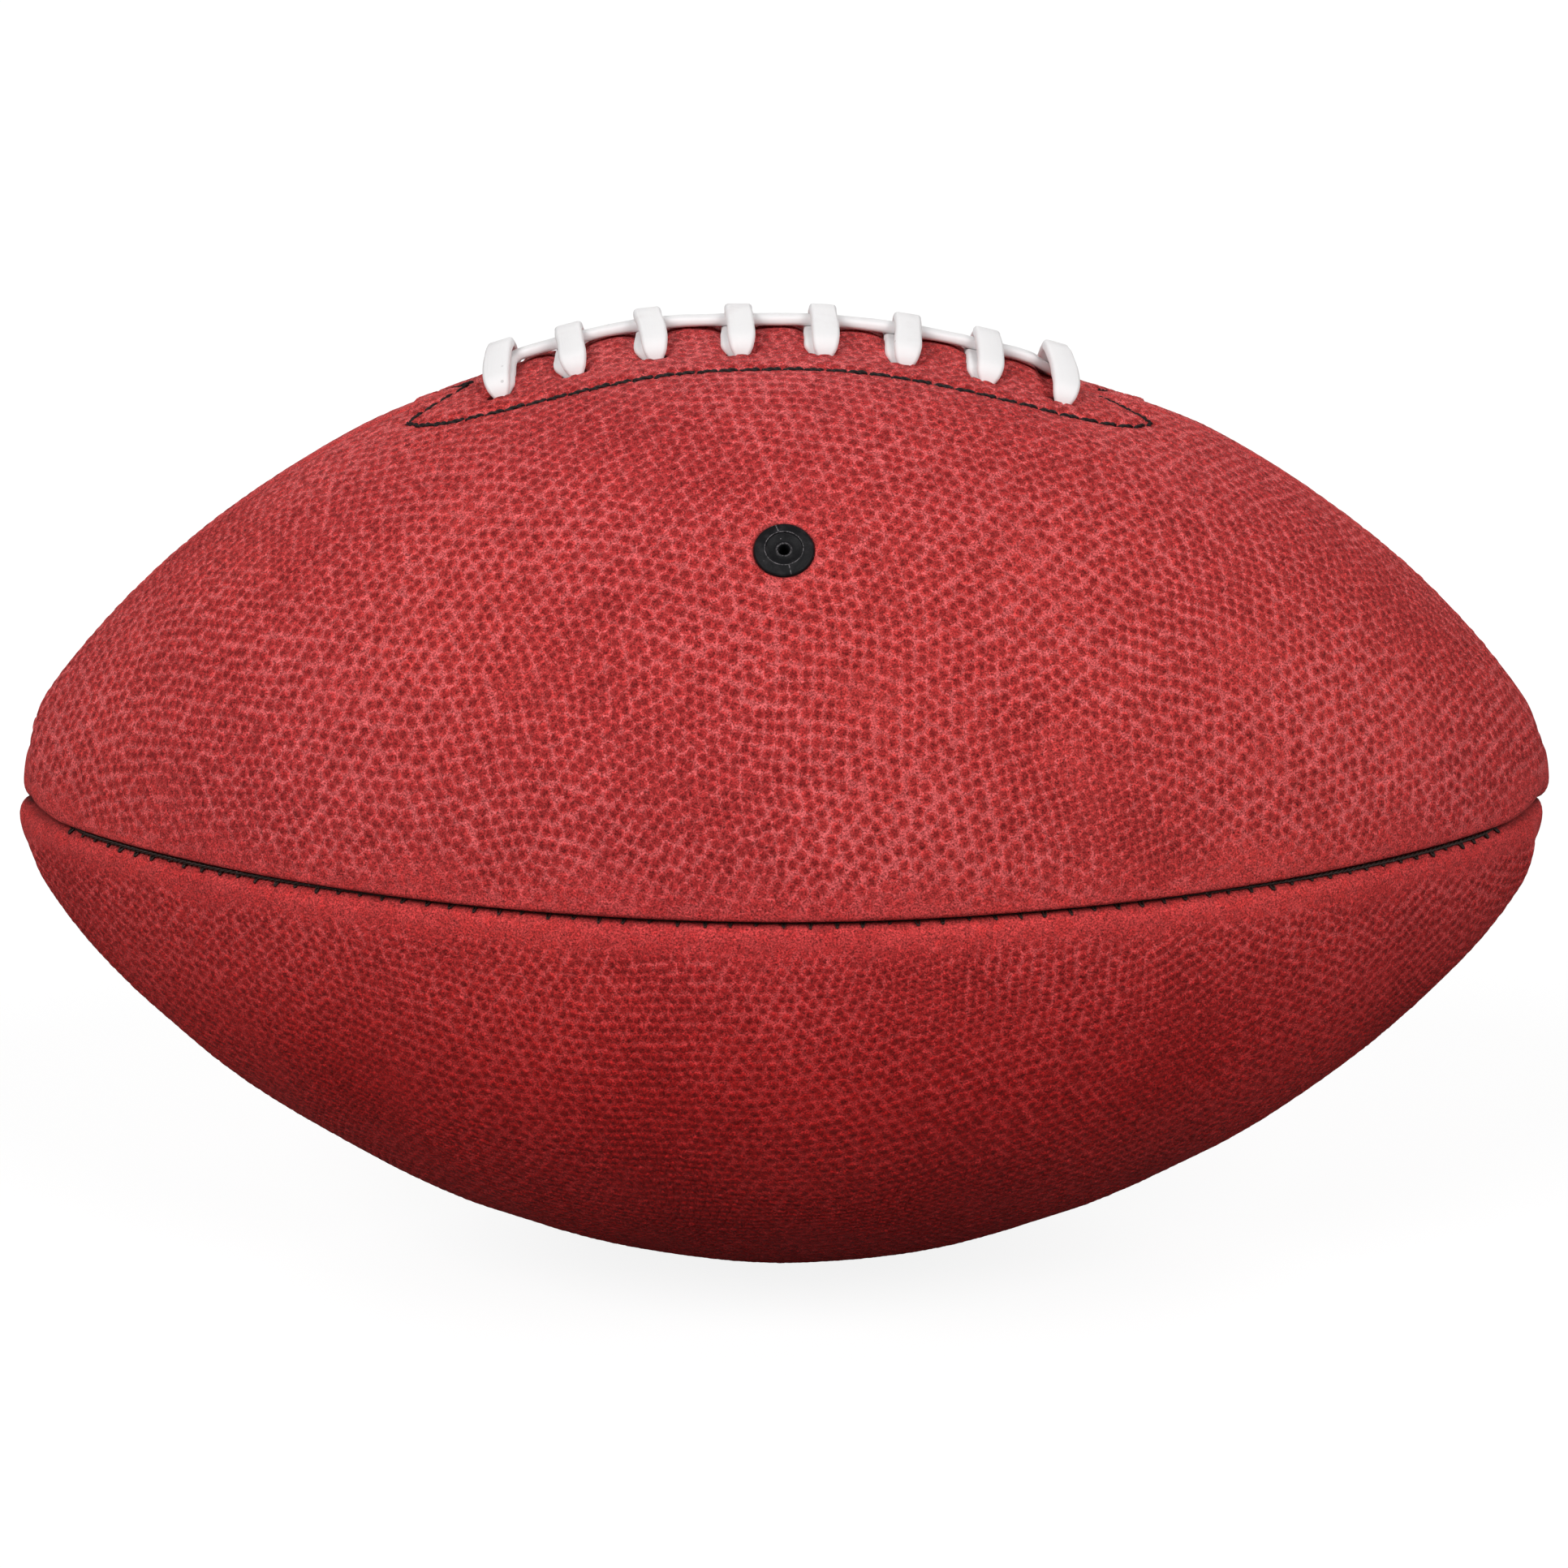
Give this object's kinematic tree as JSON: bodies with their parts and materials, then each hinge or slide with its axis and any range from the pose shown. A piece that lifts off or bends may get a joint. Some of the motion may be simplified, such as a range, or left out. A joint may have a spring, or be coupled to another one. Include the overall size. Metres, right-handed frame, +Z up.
{
  "type": "american football",
  "caption": "American football with four pebbled leather panels, white lacing over a stitched facing, and a rubber inflation valve.",
  "frame": {"origin": "centre of the ball, on its long axis, halfway between the tips", "axes": "+X along the long axis, to the right in the picture; +Z up through the middle of the lacing; -Y to the side with the valve, towards the camera"},
  "size_m": [0.2804, 0.1726, 0.1749],
  "materials": {
    "leather": "pebbled, soft sheen",
    "lining": "woven, matte",
    "bladder_rubber": "matte",
    "valve_rubber": "satin",
    "tongue_leather": "matte",
    "facing_leather": "matte",
    "lace": "smooth, soft sheen",
    "facing_thread": "waxed thread",
    "seam_thread": "waxed thread"
  },
  "bodies": {
    "root": {"panel_front_top": "leather", "panel_back_top": "leather", "panel_front_bottom": "leather", "panel_back_bottom": "leather", "lining_front_top": "lining", "lining_back_top": "lining", "lining_front_bottom": "lining", "lining_back_bottom": "lining", "bladder": "bladder_rubber", "valve_stem": "valve_rubber", "valve_core": "valve_rubber", "valve_patch": "bladder_rubber", "tongue": "tongue_leather", "facing_front": "facing_leather", "facing_back": "facing_leather", "lace": "lace", "facing_stitch_front": "facing_thread", "facing_stitch_back": "facing_thread", "seam_thread_front": "seam_thread", "seam_thread_back": "seam_thread", "seam_thread_bottom": "seam_thread", "seam_thread_lacing_left": "seam_thread", "seam_thread_lacing_right": "seam_thread"}
  },
  "joints": []
}
